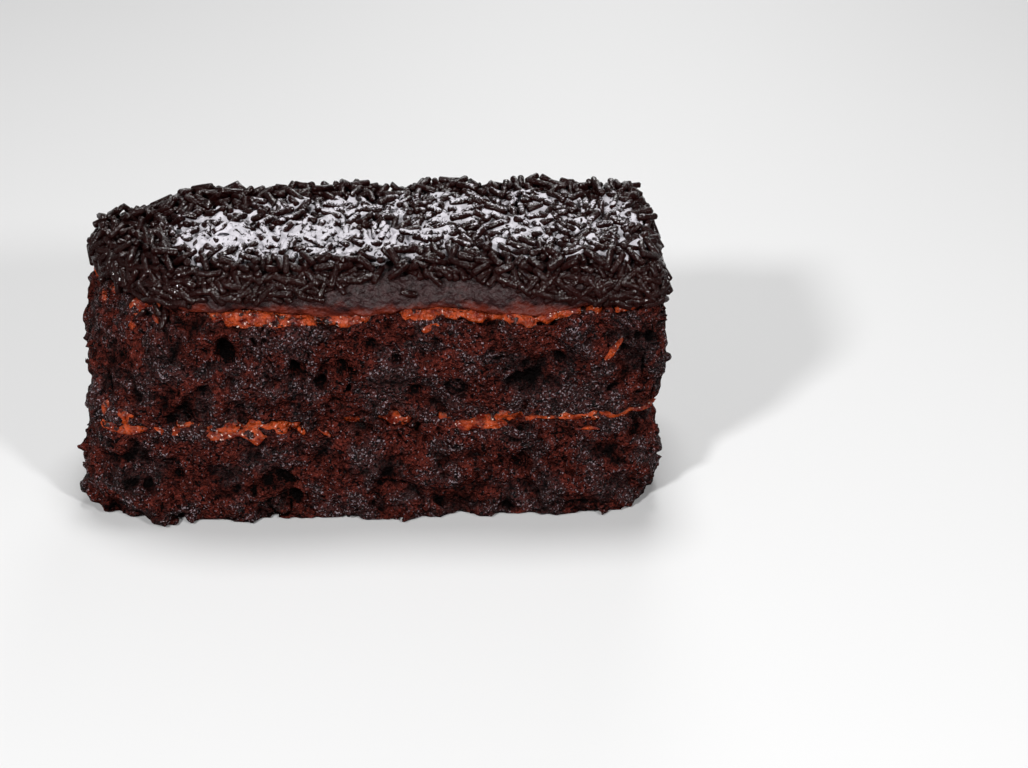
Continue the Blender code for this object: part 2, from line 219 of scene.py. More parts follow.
# Lowest strand on the wall along the slice, as x and z
WALL_STRANDS_END = (
    (-66, 51.2), (-52, 51.6), (-44, 52.8), (-34, 55), (-12, 55.6), (0, 58.8), (8, 59.4),
    (24, 59.2), (31, 57.6), (38, 55.4), (46, 53.6), (56, 53.2), (66, 53),
)

# Strands that hang under the icing's broken corner: x, z and lean in degrees
STRAY_STRANDS = ((-53.5, 49, 65), (-51, 47.5, 50), (-46.5, 50.2, -50), (-45, 48.4, -70))
STRAY_RISE = 0.4

# Icing sugar: the front and back limits of the dusting, as x and y
SUGAR_FRONT = (
    (-48, 3), (-45, -8), (-40, -17), (-30, -20), (-14, -21), (8, -19), (20, -18.5), (38, -21),
    (60, -21), (64.5, -10),
)
SUGAR_BACK = ((-48, 4), (-39, 9.5), (-16, 17), (-7, 14.5), (21, 17), (27, 19), (59, 15), (64.5, 0))
SUGAR_EDGE = 5.0
SUGAR_ENDS = (-47.0, 63.0)

# Waves that make the limits wander: turns along x and y, and where each starts
SUGAR_WANDER = 0.9
WANDER_WAVES = ((0.62, 0.35, 0), (0.37, -0.71, 2), (1.3, 0.9, 4))

# Heights over which the dust on the strands, and the sugar between them, begin
DUST_FLOOR = (57.5, 60.0)
SUGAR_FLOOR = (58.5, 60.0)
THIN_SUGAR = 0.30

# Thick patches: centre, reach and thickness
SUGAR_PATCHES = (
    ((-39, -6), 6, 0.7), ((-30, -8), 8, 1), ((-19, -5), 8, 1), ((-8, -9), 8, 1),
    ((4, -11), 7, 0.95), ((-21, -15), 8, 0.9), ((-8, -17), 6, 0.8), ((-5, 7), 8, 0.75),
    ((14, -9), 7, 0.85), ((20, 5), 8, 0.7), ((33, -4), 8, 0.7), ((36, 11), 6, 0.6),
    ((50, -7), 7, 0.6), ((56, 4), 6, 0.6), ((6, 16), 6, 0.6),
)
SUGAR_BLUR = 1.0
SUGAR_LOW = -1.0
SUGAR_HIGH = 0.2
SUGAR_DEPTH = 1.3
SUGAR_LIMIT = 0.2
SUGAR_CRUST = ((0.9, 0.22), (1.8, 0.30), (3.6, 0.42))

# Colours, as red, green and blue: from the darkest to the lightest where there are two
DRY_CRUMB = ((0.018, 0.0021, 0.0015), (0.168, 0.0275, 0.0178))
MOIST_CRUMB = ((0.006, 0.0013, 0.0012), (0.082, 0.0185, 0.016))
# Near-black painted shade in the pores
PORE_PAINTED_SHADE = (0.003, 0.0004, 0.0003)
# Painted shade in the crumb's hollows and under its grains
CRUMB_PAINTED_SHADE = (0.001, 0.0002, 0.0002)
# Painted glints on the crumb
CRUMB_PAINTED_GLINT = (0.36, 0.28, 0.31)
CREAM = ((0.11, 0.008, 0.0035), (0.42, 0.056, 0.01))
CREAM_CRUST = (0.02, 0.003, 0.002)
# Painted glints on the filling
CREAM_PAINTED_GLINT = (0.8, 0.58, 0.5)
ICING = ((0.013, 0.0052, 0.0052), (0.044, 0.019, 0.0195))
ICING_FOOT = (0.12, 0.0165, 0.008)
STRAND = ((0.004, 0.0008, 0.0007), (0.021, 0.0044, 0.0038))
SUGAR = ((0.58, 0.555, 0.6), (0.74, 0.715, 0.76))
SUGAR_SPECK = (0.01, 0.003, 0.0025)
FLOOR = ((0.76, 0.76, 0.76), (0.78, 0.78, 0.78))

# Soft round lights: name, place, size in metres and power in watts
LIGHTS = (
    ("key", (-0.5, -0.8, 0.62), 0.14, 9),
    ("fill", (0.62, -0.78, 0.5), 0.14, 6),
    ("top", (0.05, 0.2, 1), 0.35, 5),
    ("back", (0.15, 0.95, 0.45), 0.4, 2),
)
LIGHT_TARGET = Vector((0, 0, 0.03))
WORLD_LIGHT = 0.06

# Camera, fitted to the photograph
AZIMUTH = math.radians(-2.6)
ELEVATION = math.radians(26.8)
CAMERA_DISTANCE = 0.478
CAMERA_TARGET = Vector((0.0335, 0.0002, 0.0201))
CAMERA_LENS = 70.0


class Grid:
    """Evenly spaced sample points in a box, in millimetres."""

    def __init__(self, low, high, step):
        self.low = np.array(low, float)
        self.step = step
        self.shape = tuple(np.ceil((np.array(high, float) - self.low) / step).astype(int) + 1)

    def axis(self, index):
        return self.low[index] + self.step * np.arange(self.shape[index])

    def axes(self):
        """The three axes, shaped so that they can be combined into a field."""
        x, y, z = (self.axis(index).astype(np.float32) for index in range(3))
        return x[:, None, None], y[None, :, None], z[None, None, :]

    def sample(self, values, points):
        """The value at the grid point nearest to each point."""
        places = np.rint((points - self.low) / self.step).astype(int)
        places = np.clip(places, 0, np.array(self.shape) - 1)
        return values[places[:, 0], places[:, 1], places[:, 2]]


def smoothstep(low, high, value):
    share = np.clip((value - low) / (high - low), 0.0, 1.0)
    return share * share * (3 - 2 * share)


def read(table, x):
    """The table's value at x, on straight lines between its entries."""
    return np.interp(x, *np.array(table).T)


def box_corners(name):
    """The low and high corners of a node's box, in millimetres."""
    return (np.array(corner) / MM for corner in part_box(name))


def foot_and_top(name):
    """The heights of a node's foot and top, in millimetres."""
    return (corner.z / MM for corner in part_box(name))


def spread(values, weights):
    """Applies one matrix of weights along each axis of the values."""
    for axis, matrix in enumerate(weights):
        values = np.moveaxis(np.tensordot(matrix, values, (1, axis)), 0, axis)
    return values


def straight_weights(places, coarse, index):
    """Weights that read an axis of the coarse grid at these places, by straight lines."""
    place = (places - coarse.low[index]) / coarse.step
    place = np.clip(place, 0, coarse.shape[index] - 1.001)
    first = place.astype(int)
    share = place - first
    matrix = np.zeros((len(place), coarse.shape[index]), np.float32)
    rows = np.arange(len(place))
    matrix[rows, first] = 1 - share
    matrix[rows, first + 1] = share
    return matrix


def wave_rise(x, z):
    """How far the layers at this height rise at this place along the slice."""
    rise = 0.0
    for middle, wave in WAVES:
        rise = rise + read(wave, x) * np.exp(-(((z - middle) / WAVE_REACH) ** 2))
    return rise


def refine(values, coarse, fine, waved=False):
    """The coarse grid's values on the fine grid, with the layers' waves if asked for."""
    heights = fine.axis(2)
    flat = np.eye(coarse.shape[2], dtype=np.float32)
    weights = [straight_weights(fine.axis(index), coarse, index) for index in (0, 1)]
    values = spread(values.astype(np.float32), [*weights, flat])
    if not waved:
        return values @ straight_weights(heights, coarse, 2).T
    result = np.empty(fine.shape, np.float32)
    for i, x in enumerate(fine.axis(0)):
        result[i] = values[i] @ straight_weights(heights - wave_rise(x, heights), coarse, 2).T
    return result


def noise(grid, size, draw):
    """Soft noise with features of this size, with a mean of 0 and a spread of 1."""
    weights = []
    counts = []
    for index in range(3):
        place = (grid.axis(index) - grid.low[index]) / size + draw.random() + 1
        first = place.astype(int)
        share = place - first
        count = first[-1] + 3
        matrix = np.zeros((len(place), count), np.float32)
        rows = np.arange(len(place))
        before, after = (1 - share) ** 3, share**3
        between = -3 * share**3 + 3 * share**2 + 3 * share + 1
        for shift, weight in enumerate((before, 3 * share**3 - 6 * share**2 + 4, between, after)):
            matrix[rows, first - 1 + shift] = weight / 6
        weights.append(matrix)
        counts.append(count)
    values = spread(draw.standard_normal(counts).astype(np.float32), weights)
    return values / values.std()


def relief(grid, scales, draw, level=0):
    """Noise of several sizes, each with its rise, about a level."""
    return sum((rise * noise(grid, size, draw) for size, rise in scales), level)


def tree_of(points, faces):
    return BVHTree.FromPolygons([tuple(p) for p in points], [tuple(f) for f in faces])


def mesh_arrays(item):
    """An object's points in millimetres, and its faces."""
    points = np.array([v.co for v in item.data.vertices]) / MM
    return points, [tuple(p.vertices) for p in item.data.polygons]


def crossings(tree, x, y):
    """Heights at which a ray straight up crosses a closed surface, always even in number."""
    for shift in (0.013, 0.031, 0.057, 0.083, 0.109):
        found = []
        hit = tree.ray_cast(Vector((x + shift, y + shift / 2, -99)), UP)[0]
        while hit:
            found.append(hit.z)
            hit = tree.ray_cast(hit + UP * 0.002, UP)[0]
        if len(found) % 2 == 0:
            return found
    return []


def inside_solid(tree, grid):
    """Which of the grid's points lie inside a closed surface."""
    inside = np.zeros(grid.shape, bool)
    for i, x in enumerate(grid.axis(0)):
        for j, y in enumerate(grid.axis(1)):
            for height in crossings(tree, x, y):
                inside[i, j] ^= grid.axis(2) > height
    return inside


def distances(tree, grid, inside, low=-math.inf, high=math.inf):
    """Distance to the surface at the grid's points between two heights, positive inside."""
    values = np.full(grid.shape, FAR_OUTSIDE, np.float32)
    levels = [k for k, z in enumerate(grid.axis(2)) if low <= z <= high]
    for i, x in enumerate(grid.axis(0)):
        for j, y in enumerate(grid.axis(1)):
            for k in levels:
                distance = tree.find_nearest(Vector((x, y, grid.low[2] + k * grid.step)))[3]
                values[i, j, k] = distance if inside[i, j, k] else -distance
    return values


def surface_net(field, grid):
    """The surface where the field is zero, as points and quads that face outwards."""
    inside = field > 0
    cells = tuple(size - 1 for size in field.shape)
    steps = [(a, b, c) for a in (0, 1) for b in (0, 1) for c in (0, 1)]

    def corner(values, step):
        return values[tuple(slice(s, s + n) for s, n in zip(step, cells))]

    full = sum(corner(inside, step).astype(np.int8) for step in steps)
    active = (full > 0) & (full < 8)
    places = np.argwhere(active)
    index = np.full(cells, -1, np.int64)
    index[active] = np.arange(len(places))
    heights = {step: corner(field, step)[active] for step in steps}
    total = np.zeros((len(places), 3))
    count = np.zeros((len(places), 1))
    for first in steps:
        for axis in range(3):
            if first[axis]:
                continue
            second = tuple(1 if n == axis else v for n, v in enumerate(first))
            a, b = heights[first], heights[second]
            crossed = (a > 0) != (b > 0)
            share = np.where(crossed, a / np.where(crossed, a - b, 1), 0)
            total += np.where(crossed[:, None], np.array(first, float), 0)
            total[:, axis] += share
            count[:, 0] += crossed
    points = (places + total / count) * grid.step + grid.low
    quads = []
    for axis in range(3):
        side, up = (axis + 1) % 3, (axis + 2) % 3
        lower = [slice(1, -1)] * 3
        lower[axis] = slice(0, -1)
        upper = list(lower)
        upper[axis] = slice(1, None)
        out = inside[tuple(lower)] & ~inside[tuple(upper)]
        into = ~inside[tuple(lower)] & inside[tuple(upper)]
        for mask, turn in ((out, 1), (into, -1)):
            found = np.argwhere(mask)
            found[:, side] += 1
            found[:, up] += 1
            corners = []
            for back, down in ((1, 1), (0, 1), (0, 0), (1, 0)):
                cell = found.copy()
                cell[:, side] -= back
                cell[:, up] -= down
                corners.append(index[cell[:, 0], cell[:, 1], cell[:, 2]])
            quads.append(np.stack(corners[::turn], axis=1))
    return points, np.concatenate(quads)


def merge_hidden(points, quads, hidden):
    """Draws the hidden part of a surface with large triangles, by merging its points."""
    cell = np.floor(points / HIDDEN_CELL).astype(np.int64)
    key = (cell[:, 0] * 4096 + cell[:, 1]) * 4096 + cell[:, 2]
    key = np.where(hidden, key, np.arange(len(points)) + key.max() + 1)
    _, group, sizes = np.unique(key, return_inverse=True, return_counts=True)
    merged = np.zeros((len(sizes), 3))
    np.add.at(merged, group, points)
    merged /= sizes[:, None]
    triangles = group[np.concatenate([quads[:, [0, 1, 2]], quads[:, [0, 2, 3]]])]
    a, b, c = triangles.T
    triangles = triangles[(a != b) & (b != c) & (c != a)]
    ordered = np.sort(triangles, axis=1)
    _, first, copies = np.unique(ordered, axis=0, return_index=True, return_counts=True)
    return merged, triangles[first[copies % 2 == 1]]


def keep_largest(points, faces):
    """Drops the loose scraps of a surface."""
    label = np.arange(len(points))
    first = faces.ravel()
    second = np.roll(faces, -1, axis=1).ravel()
    while True:
        lowest = np.minimum(label[first], label[second])
        updated = label.copy()
        np.minimum.at(updated, first, lowest)
        np.minimum.at(updated, second, lowest)
        updated = updated[updated]
        if (updated == label).all():
            break
        label = updated
    names, counts = np.unique(label[faces[:, 0]], return_counts=True)
    faces = faces[label[faces[:, 0]] == names[counts.argmax()]]
    used, group = np.unique(faces.ravel(), return_inverse=True)
    return points[used], group.reshape(faces.shape)


def skin(field, grid, whole=None):
    """A layer's surface. Inside the whole slice, if given, it is coarse, and scraps are dropped."""
    points, quads = surface_net(field, grid)
    if whole is None:
        return merge_hidden(points, quads, np.zeros(len(points), bool))
    return keep_largest(*merge_hidden(points, quads, grid.sample(whole, points) > HIDDEN_DEPTH))


def make_piece(name, points, faces, material, nodes, slot, **facts):
    """A mesh of points in millimetres, with one number at each point for each fact."""
    mesh = bpy.data.meshes.new(name)
    mesh.from_pydata((points * MM).tolist(), [], faces.tolist())
    mesh.shade_smooth()
    mesh.materials.append(material)
    for fact, values in facts.items():
        layer = mesh.attributes.new(fact, "FLOAT", "POINT")
        layer.data.foreach_set("value", values.astype(np.float32))
    piece = bpy.data.objects.new(name, mesh)
    bpy.context.scene.collection.objects.link(piece)
    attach(piece, "root")
    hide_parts(*nodes)
    return piece


class Look:
    """A material, with short names for the nodes that its finish is made of."""

    def __init__(self, name, roughness, coat_roughness=0.1, specular=0.5):
        self.material = bpy.data.materials.new(name)
        self.material.use_nodes = True
        self.tree = self.material.node_tree
        self.shader = self.tree.nodes["Principled BSDF"]
        self.shader.inputs["Coat Roughness"].default_value = coat_roughness
        self.roughness(roughness)
        self.shine(specular)
        self.place = self.tree.nodes.new("ShaderNodeTexCoord").outputs["Object"]

    def plug(self, value, socket):
        if isinstance(value, bpy.types.NodeSocket):
            self.tree.links.new(value, socket)
        else:
            socket.default_value = value

    def node(self, kind, inputs, **settings):
        """A new node with these settings, and these values or sockets for its inputs."""
        node = self.tree.nodes.new(f"ShaderNode{kind}")
        for name, value in settings.items():
            setattr(node, name, value)
        for name, value in inputs.items():
            self.plug(value, node.inputs[name])
        return node

    def noise(self, size, shift=0, detail=2, roughness=0.5):
        """Noise from 0 to 1, with features of this size in metres."""
        inputs = {"Scale": 1 / size, "W": shift, "Detail": detail, "Roughness": roughness}
        inputs["Vector"] = self.place
        return self.node("TexNoise", inputs, noise_dimensions="4D").outputs["Fac"]

    def granules(self, size):
        """0 in the middle of each granule of this size in metres, and about 0.5 between them."""
        wander = self.node("TexNoise", {"Scale": 0.7 / size, "Vector": self.place})
        inputs = {0: wander.outputs["Color"], 1: (size * 0.9,) * 3, 2: self.place}
        bend = self.node("VectorMath", inputs, operation="MULTIPLY_ADD")
        inputs = {"Scale": 1 / size, "Vector": bend.outputs["Vector"]}
        distance = self.node("TexVoronoi", inputs, voronoi_dimensions="4D").outputs["Distance"]
        return self.times(distance, distance)

    def fact(self, name):
        return self.node("Attribute", {}, attribute_name=name).outputs["Fac"]

    def upward(self, normal=None):
        """How far the surface faces up, from -1 to 1."""
        normal = normal or self.node("NewGeometry", {}).outputs["Normal"]
        return self.node("SeparateXYZ", {"Vector": normal}).outputs["Z"]

    def span(self, value, low, high, first=0, last=1):
        """The value's place between low and high, from first to last."""
        inputs = {"Value": value, "From Min": low, "From Max": high, "To Min": first, "To Max": last}
        return self.node("MapRange", inputs).outputs["Result"]

    def math(self, operation, first, second):
        return self.node("Math", {0: first, 1: second}, operation=operation).outputs["Value"]

    def plus(self, total, *others):
        for value in others:
            total = self.math("ADD", total, value)
        return total

    def times(self, total, *others):
        for value in others:
            total = self.math("MULTIPLY", total, value)
        return total

    def mix(self, share, first, second):
        """A colour between two, each a socket or red, green and blue."""
        first, second = ((*value, 1) if isinstance(value, tuple) else value for value in (first, second))
        return self.node("Mix", {"Factor": share, 6: first, 7: second}, data_type="RGBA").outputs[2]

    def colour(self, value):
        self.plug(value, self.shader.inputs["Base Color"])

    def roughness(self, value):
        self.plug(value, self.shader.inputs["Roughness"])

    def coat(self, value):
        self.plug(value, self.shader.inputs["Coat Weight"])

    def shine(self, value):
        self.plug(value, self.shader.inputs["Specular IOR Level"])

    def bump(self, height, distance, under=None):
        """Bumps of this height in metres, on top of other bumps if there are any."""
        inputs = {"Height": height, "Distance": distance, "Strength": 1}
        if under:
            inputs["Normal"] = under
        return self.node("Bump", inputs).outputs["Normal"]

    def normal(self, base, coat=None):
        self.plug(base, self.shader.inputs["Normal"])
        self.plug(coat or base, self.shader.inputs["Coat Normal"])


def crumb_look():
    """Dark moist crumb: matt reddish patches, and wet grey-brown ones that glint, partly through painted
    glints, with painted shade in the pores and hollows.
    """
    look = Look("crumb", 0.65, coat_roughness=0.18)
    ragged = look.span(look.noise(0.003, 40, 3, 0.6), 0.3, 0.7, -0.3, 0.3)
    dark = look.span(look.plus(look.fact("dark"), ragged), 0.4, 0.6)
    wet = look.math("MAXIMUM", look.span(look.noise(0.008, 0, 3, 0.6), 0.46, 0.54), dark)
    shallow = look.span(look.fact("relief"), -1.4, -0.2)
    raised = look.span(look.fact("relief"), -0.6, 0.1)

    # The grain, and how much of it faces the light
    domes = look.bump(look.times(look.granules(0.0009), -1), 0.0008)
    rough = look.bump(look.noise(0.0006, 4, 2, 0.7), 0.0012, domes)
    lit = look.span(look.upward(rough), -0.5, 0.3)

    # Speckled colour, with the pores painted near-black as painted shade
    speckle = look.span(look.noise(0.00055, 14, 1), 0.36, 0.64)
    mottle = look.span(look.noise(0.0026, 1.5), 0.3, 0.7, 0, 0.3)
    tint = look.plus(look.times(speckle, 0.7), mottle)
    pore_shade = look.span(look.noise(0.0011, 21, 2, 0.6), 0.54, 0.62)
    shown = look.mix(wet, look.mix(tint, *DRY_CRUMB), look.mix(tint, *MOIST_CRUMB))
    shown = look.mix(pore_shade, shown, PORE_PAINTED_SHADE)

    # Painted glints: light specks on raised grains, more of them on wet crumb
    wetness = look.plus(wet, look.noise(0.0035, 25))
    limit = look.span(wetness, 0.4, 1.5, 0.655, 0.592)
    excess = look.math("SUBTRACT", look.noise(0.00045, 30, 1), limit)
    painted_glint = look.times(look.span(excess, 0, 0.05), raised, 0.85)
    shown = look.mix(painted_glint, shown, CRUMB_PAINTED_GLINT)

    # Painted shade in the hollows and under the grains, with broad random tone and the darker wet patches
    broad = look.span(look.noise(0.0045, 50), 0.35, 0.6, 0.55, 1)
    painted_shade_and_tone = look.times(shallow, look.span(lit, 0, 1, 0.2, 1), broad, look.span(dark, 0, 1, 1, 0.7))
    look.colour(look.mix(painted_shade_and_tone, CRUMB_PAINTED_SHADE, shown))
    look.coat(look.times(look.span(wet, 0, 1, 0.05, 0.4), shallow, lit))
    look.shine(look.times(lit, 0.05))
    look.normal(rough)
    return look.material


def filling_look():
    """Glossy reddish-brown filling with crumb stuck to it, and painted glints in its colour."""
    look = Look("filling", 0.4, coat_roughness=0.1)
    cream = look.mix(look.span(look.noise(0.003, 0, 3, 0.6), 0.38, 0.6), *CREAM)
    crust = look.plus(
        look.noise(0.0013, 2, 2, 0.6),
        look.noise(0.0038, 22, 2, 0.6),
        look.times(look.fact("edge"), 0.16),
    )
    shown = look.mix(look.span(crust, 1.12, 1.19), cream, CREAM_CRUST)
    # Painted glints: light specks in the colour that stand in for highlights
    painted_cream_glint = look.span(look.noise(0.0007, 33, 1), 0.66, 0.72, 0, 0.9)
    look.colour(look.mix(painted_cream_glint, shown, CREAM_PAINTED_GLINT))
    lumps = look.bump(look.noise(0.002, 3, 3, 0.6), 0.0026)
    rough = look.bump(look.noise(0.0008, 5), 0.001, lumps)
    lit = look.span(look.upward(rough), -0.1, 0.4)
    look.coat(lit)
    look.shine(look.times(lit, 0.2))
    look.normal(rough)
    return look.material


def icing_look():
    """Satin grey-brown icing that turns reddish towards its foot."""
    look = Look("icing", 0.42)
    edge = look.span(look.noise(0.005, 0, 3, 0.6), 0.3, 0.7, -0.35, 0.35)
    red = look.span(look.plus(look.fact("foot"), edge), 0.2, 0.75)
    mottle = look.span(look.noise(0.0016, 0, 3, 0.6), 0.3, 0.7)
    look.colour(look.mix(red, look.mix(mottle, *ICING), ICING_FOOT))
    broad = look.bump(look.noise(0.004, 12), 0.004)
    rough = look.bump(look.noise(0.0012, 6, 3, 0.6), 0.001, broad)
    look.shine(look.span(look.upward(rough), -0.3, 0.4, 0, 0.35))
    look.normal(rough)
    return look.material


def sugar_colour(look):
    return look.mix(look.noise(0.002), *SUGAR)


def strand_look():
    """Rough near-black strands, dusted from above where sugar was sifted over them."""
    look = Look("strands", 0.3, coat_roughness=0.13)
    dust = look.fact("dust")
    uneven = look.bump(look.noise(0.0012, 7, 2, 0.6), 0.0006)
    rough = look.bump(look.noise(0.0005, 27, 2, 0.6), 0.0004, uneven)

    # Dust in patches, mostly on what faces up
    amount = look.plus(
        look.times(look.noise(0.0022, 8), 1.3),
        look.times(look.noise(0.00055, 18, 3, 0.7), 1.3),
        look.times(look.upward(), 0.3),
        look.times(look.upward(rough), 0.2),
        look.times(dust, 0.5),
    )
    share = look.times(look.span(amount, 1.98, 2.09, 0, 0.95), look.span(dust, 0.02, 0.25))
    brown = look.mix(look.noise(0.004, 1), *STRAND)
    look.colour(look.mix(share, brown, sugar_colour(look)))
    look.roughness(look.span(share, 0, 1, 0.3, 0.95))

    # Shine where there is no dust
    bare = look.span(share, 0, 0.5, 1, 0)
    wet = look.span(look.noise(0.0016, 60), 0.35, 0.6, 0.2, 1)
    look.coat(look.times(wet, look.span(look.upward(uneven), 0, 0.6), bare))
    look.shine(look.times(look.span(look.upward(rough), -0.1, 0.6, 0.01, 0.08), bare))
    look.normal(rough, uneven)
    return look.material


def sugar_look():
    """Dry white icing sugar with small clumps, and dark specks where it is thin."""
    look = Look("sugar", 0.95, specular=0.2)
    broad = look.times(look.noise(0.004, 71, 1), 0.5)
    bare = look.span(look.plus(look.noise(0.0012, 70, 2, 0.6), broad), 0.86, 0.91)
    look.colour(look.mix(bare, sugar_colour(look), SUGAR_SPECK))
    look.normal(look.bump(look.noise(0.0007, 9, 4, 0.7), 0.0006))
    return look.material


def stamp(field, grid, centre, radii, slant, weight):
    """Adds a soft ellipsoid to a field; its slant turns it in the plane of the front wall."""
    reach = max(radii) * 1.8
    low = np.clip(((np.array(centre) - reach - grid.low) / grid.step).astype(int), 0, None)
    high = ((np.array(centre) + reach - grid.low) / grid.step).astype(int) + 1
    window = tuple(slice(a, max(a, b)) for a, b in zip(low, high))
    x, y, z = grid.axes()
    x = x[window[0]] - centre[0]
    y = y[:, window[1]] - centre[1]
    z = z[:, :, window[2]] - centre[2]
    turn = math.radians(slant)
    along = x * math.cos(turn) + z * math.sin(turn)
    above = z * math.cos(turn) - x * math.sin(turn)
    away = (along / radii[0]) ** 2 + (y / radii[1]) ** 2 + (above / radii[2]) ** 2
    field[window] += weight * np.exp(-(away**1.6))


class Slice:
    """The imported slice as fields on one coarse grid."""

    def __init__(self):
        low = np.array(cad_box[0]) / MM - FIELD_MARGIN
        high = np.array(cad_box[1]) / MM + FIELD_MARGIN
        low[2] = -BELOW_FLOOR
        self.grid = Grid(low, high, COARSE_STEP)
        self.nodes = {}
        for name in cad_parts:
            tree = tree_of(*mesh_arrays(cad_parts[name]))
            self.nodes[name] = self.node_field(name, tree, inside_solid(tree, self.grid))
        self.nodes["icing_with_strands"] = self.bare_icing()
        solid = np.maximum.reduce(list(self.nodes.values())) + CLOSED_GAP
        # The form at the foot goes on below the floor, to be cut off level with it later
        floor = int(np.argmax(self.grid.axis(2) > FOOT_LEVEL))
        solid[:, :, :floor] = solid[:, :, floor : floor + 1]
        tree = tree_of(*surface_net(solid, self.grid))
        self.whole = distances(tree, self.grid, solid > 0) - CLOSED_GAP

    def node_field(self, name, tree, inside):
        """Distance to a surface near a node's heights, positive inside."""
        foot, top = foot_and_top(name)
        return distances(tree, self.grid, inside, foot - NODE_REACH, top + NODE_REACH)

    def bare_icing(self):
        """The icing without its strands: shrunk until they are gone, and grown again."""
        core = self.nodes["icing_with_strands"] - BARE_DEPTH
        tree = tree_of(*surface_net(core, self.grid))
        return self.node_field("icing_with_strands", tree, core > 0) + BARE_DEPTH

    def layer(self, name, step, spare):
        """A fine grid round a node, with its field, the whole slice's, and nearness to the wall."""
        low, high = box_corners(name)
        margin = (FIELD_MARGIN, FIELD_MARGIN, spare + LAYER_MARGIN)
        low -= margin
        high += margin
        grid = Grid(low, high, step)
        inner = refine(self.nodes[name], self.grid, grid, waved=True)
        whole = refine(self.whole, self.grid, grid)
        return grid, inner, whole, 1 - smoothstep(*NEAR_WALL, whole)


def shown_share(grid, stretches, draw):
    """Where the filling shows: chosen stretches of the front, and noise on the other sides."""
    x, y, _ = grid.axes()
    front = np.zeros_like(x)
    for start, end in stretches:
        begun = smoothstep(start - SHOWN_EDGE, start + SHOWN_EDGE, x)
        ended = smoothstep(end - SHOWN_EDGE, end + SHOWN_EDGE, x)
        front = np.maximum(front, begun - ended)
    rest = smoothstep(*TORN_EDGE, relief(grid, TORN_SCALES, draw))
    front_share = smoothstep(FRONT_HALF + FRONT_BLEND, FRONT_HALF - FRONT_BLEND, y)
    front = np.clip(front * relief(grid, SHOWN_SCALES, draw, SHOWN_LEVEL), 0, 1)
    return front * front_share + rest * (1 - front_share)


def filling_cover(grid, fillings):
    """How much crumb there is over the fillings beside a sponge, from 0 to 1."""
    x, _, z = grid.axes()
    flat = z - wave_rise(x, z)
    cover = np.zeros(grid.shape, np.float32)
    for filling, stretches in fillings:
        foot, top = foot_and_top(filling)
        shown = shown_share(grid, stretches, np.random.default_rng(SEED + int(foot)))
        beside = (flat > foot - COVER_MARGIN) & (flat < top + COVER_MARGIN)
        cover = np.maximum(cover, (1 - shown) * beside)
    return cover


def crumb_holes(grid, whole, draw):
    """Depth of the holes and tears in the crumb of the wall."""
    holes = np.zeros(grid.shape, np.float32)
    for x, z, along, up, depth, slant in HOLES:
        stamp(holes, grid, (x, FRONT_WALL, z), (along, depth, up), slant, 2 * depth)
    wall = np.argwhere(np.abs(whole) < grid.step / 2)
    for place in wall[draw.integers(0, len(wall), RANDOM_HOLES)]:
        radius = draw.uniform(*RANDOM_HOLE_RADIUS) * draw.uniform(0.5, 1.0)
        radii = (radius, radius, radius * draw.uniform(0.6, 1.2))
        slant = draw.uniform(-MOST_HOLE_SLANT, MOST_HOLE_SLANT)
        stamp(holes, grid, place * grid.step + grid.low, radii, slant, 1.6 * radius)
    torn = smoothstep(*TEAR_EDGE, noise(grid, TEAR_SPREAD, draw))
    ridge = np.clip(1 - np.abs(noise(grid, TEAR_SIZE, draw)) / TEAR_WIDTH, 0, 1)
    ragged = np.clip(1 + RAGGED * noise(grid, RAGGED_SIZE, draw), 0.2, 2)
    return holes * ragged + TEAR_DEPTH * torn * ridge


def make_sponge(cake, name, fillings, material):
    """Crumb with clumps, holes and flakes, which covers parts of the filling beside it."""
    draw = np.random.default_rng(SEED + len(fillings))
    grid, inner, whole, near = cake.layer(name, CRUMB_STEP, COVER_REACH + 1.0)
    cover = COVER_REACH * filling_cover(grid, fillings) * near
    crumb = relief(grid, CRUMB_SCALES, draw)
    reach = np.maximum(cover, EDGE_CREEP * near)
    field = np.minimum(inner + CRUMB_GROWTH + reach, whole + CRUMB_GROWTH)
    height = near * (crumb - crumb_holes(grid, whole, draw))
    field = np.minimum(field + height, whole + MOST_PAST_WALL)
    x, y, z = grid.axes()
    foot, top = foot_and_top(name)
    for centre, radius in FLAKES:
        if foot < centre[2] < top:
            away = np.sqrt((x - centre[0]) ** 2 + (y - centre[1]) ** 2 + (z - centre[2]) ** 2)
            field = np.maximum(field, radius - away + FLAKE_CRUMB * crumb)
    if name == "sponge_lower":
        field = np.minimum(field, z)
    points, faces = skin(field, grid, whole)
    dark = np.zeros(grid.shape, np.float32)
    for x, z, along, up, slant in DARK_PATCHES:
        stamp(dark, grid, (x, FRONT_WALL, z), (along, DARK_DEPTH, up), slant, 1.0)
    facts = {"relief": grid.sample(height, points), "dark": grid.sample(dark, points)}
    return make_piece(f"{name}_crumb", points, faces, material, [name], "sponge", **facts)


def make_filling(cake, name, stretches, material):
    """Filling that swells out where it shows and draws back where crumb covers it."""
    foot, top = foot_and_top(name)
    draw = np.random.default_rng(SEED + int(foot))
    grid, inner, whole, near = cake.layer(name, FILLING_STEP, 1.5)
    shown = shown_share(grid, stretches, draw)
    bumps = relief(grid, FILLING_SCALES, draw)
    field = np.minimum(inner, whole) + FILLING_GROWTH + near * (bumps - COVER_INSET * (1 - shown))
    points, faces = skin(field, grid, whole)
    flat = points[:, 2] - wave_rise(points[:, 0], points[:, 2])
    edge = np.abs(2 * flat - foot - top) / (top - foot)
    return make_piece(f"{name}_cream", points, faces, material, [name], "filling", edge=edge)


